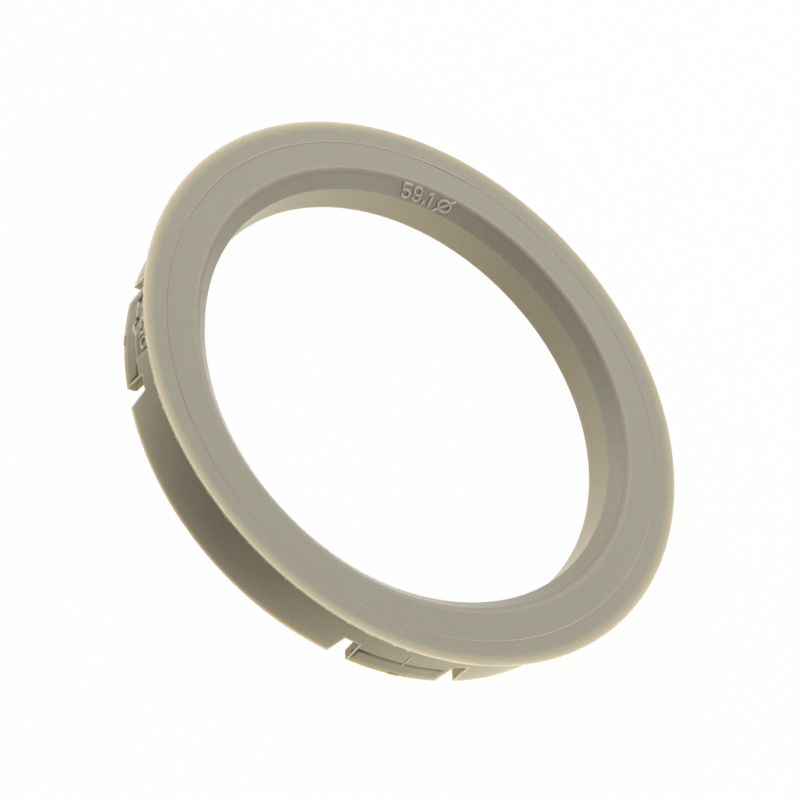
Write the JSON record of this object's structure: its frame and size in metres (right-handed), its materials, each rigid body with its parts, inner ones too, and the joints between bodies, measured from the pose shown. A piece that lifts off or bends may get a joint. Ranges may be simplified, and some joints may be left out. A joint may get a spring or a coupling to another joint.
{
  "type": "hub centring ring",
  "caption": "Moulded plastic ring with a thin collar, a lead-in bore and a slotted spigot with spring tabs, which centres a wheel on a smaller hub.",
  "frame": {"origin": "on the ring's axis, at the free edge of the skirt that the ring stands on", "axes": "+Z along the ring's axis, from the skirt's free edge to the collar's face; the labelled tab lies in the third quadrant of XY"},
  "size_m": [0.0776, 0.0776, 0.0104],
  "materials": {
    "ring_plastic": "satin, slightly translucent warm grey moulding"
  },
  "bodies": {
    "root": {"centring_ring": "ring_plastic"}
  },
  "joints": []
}
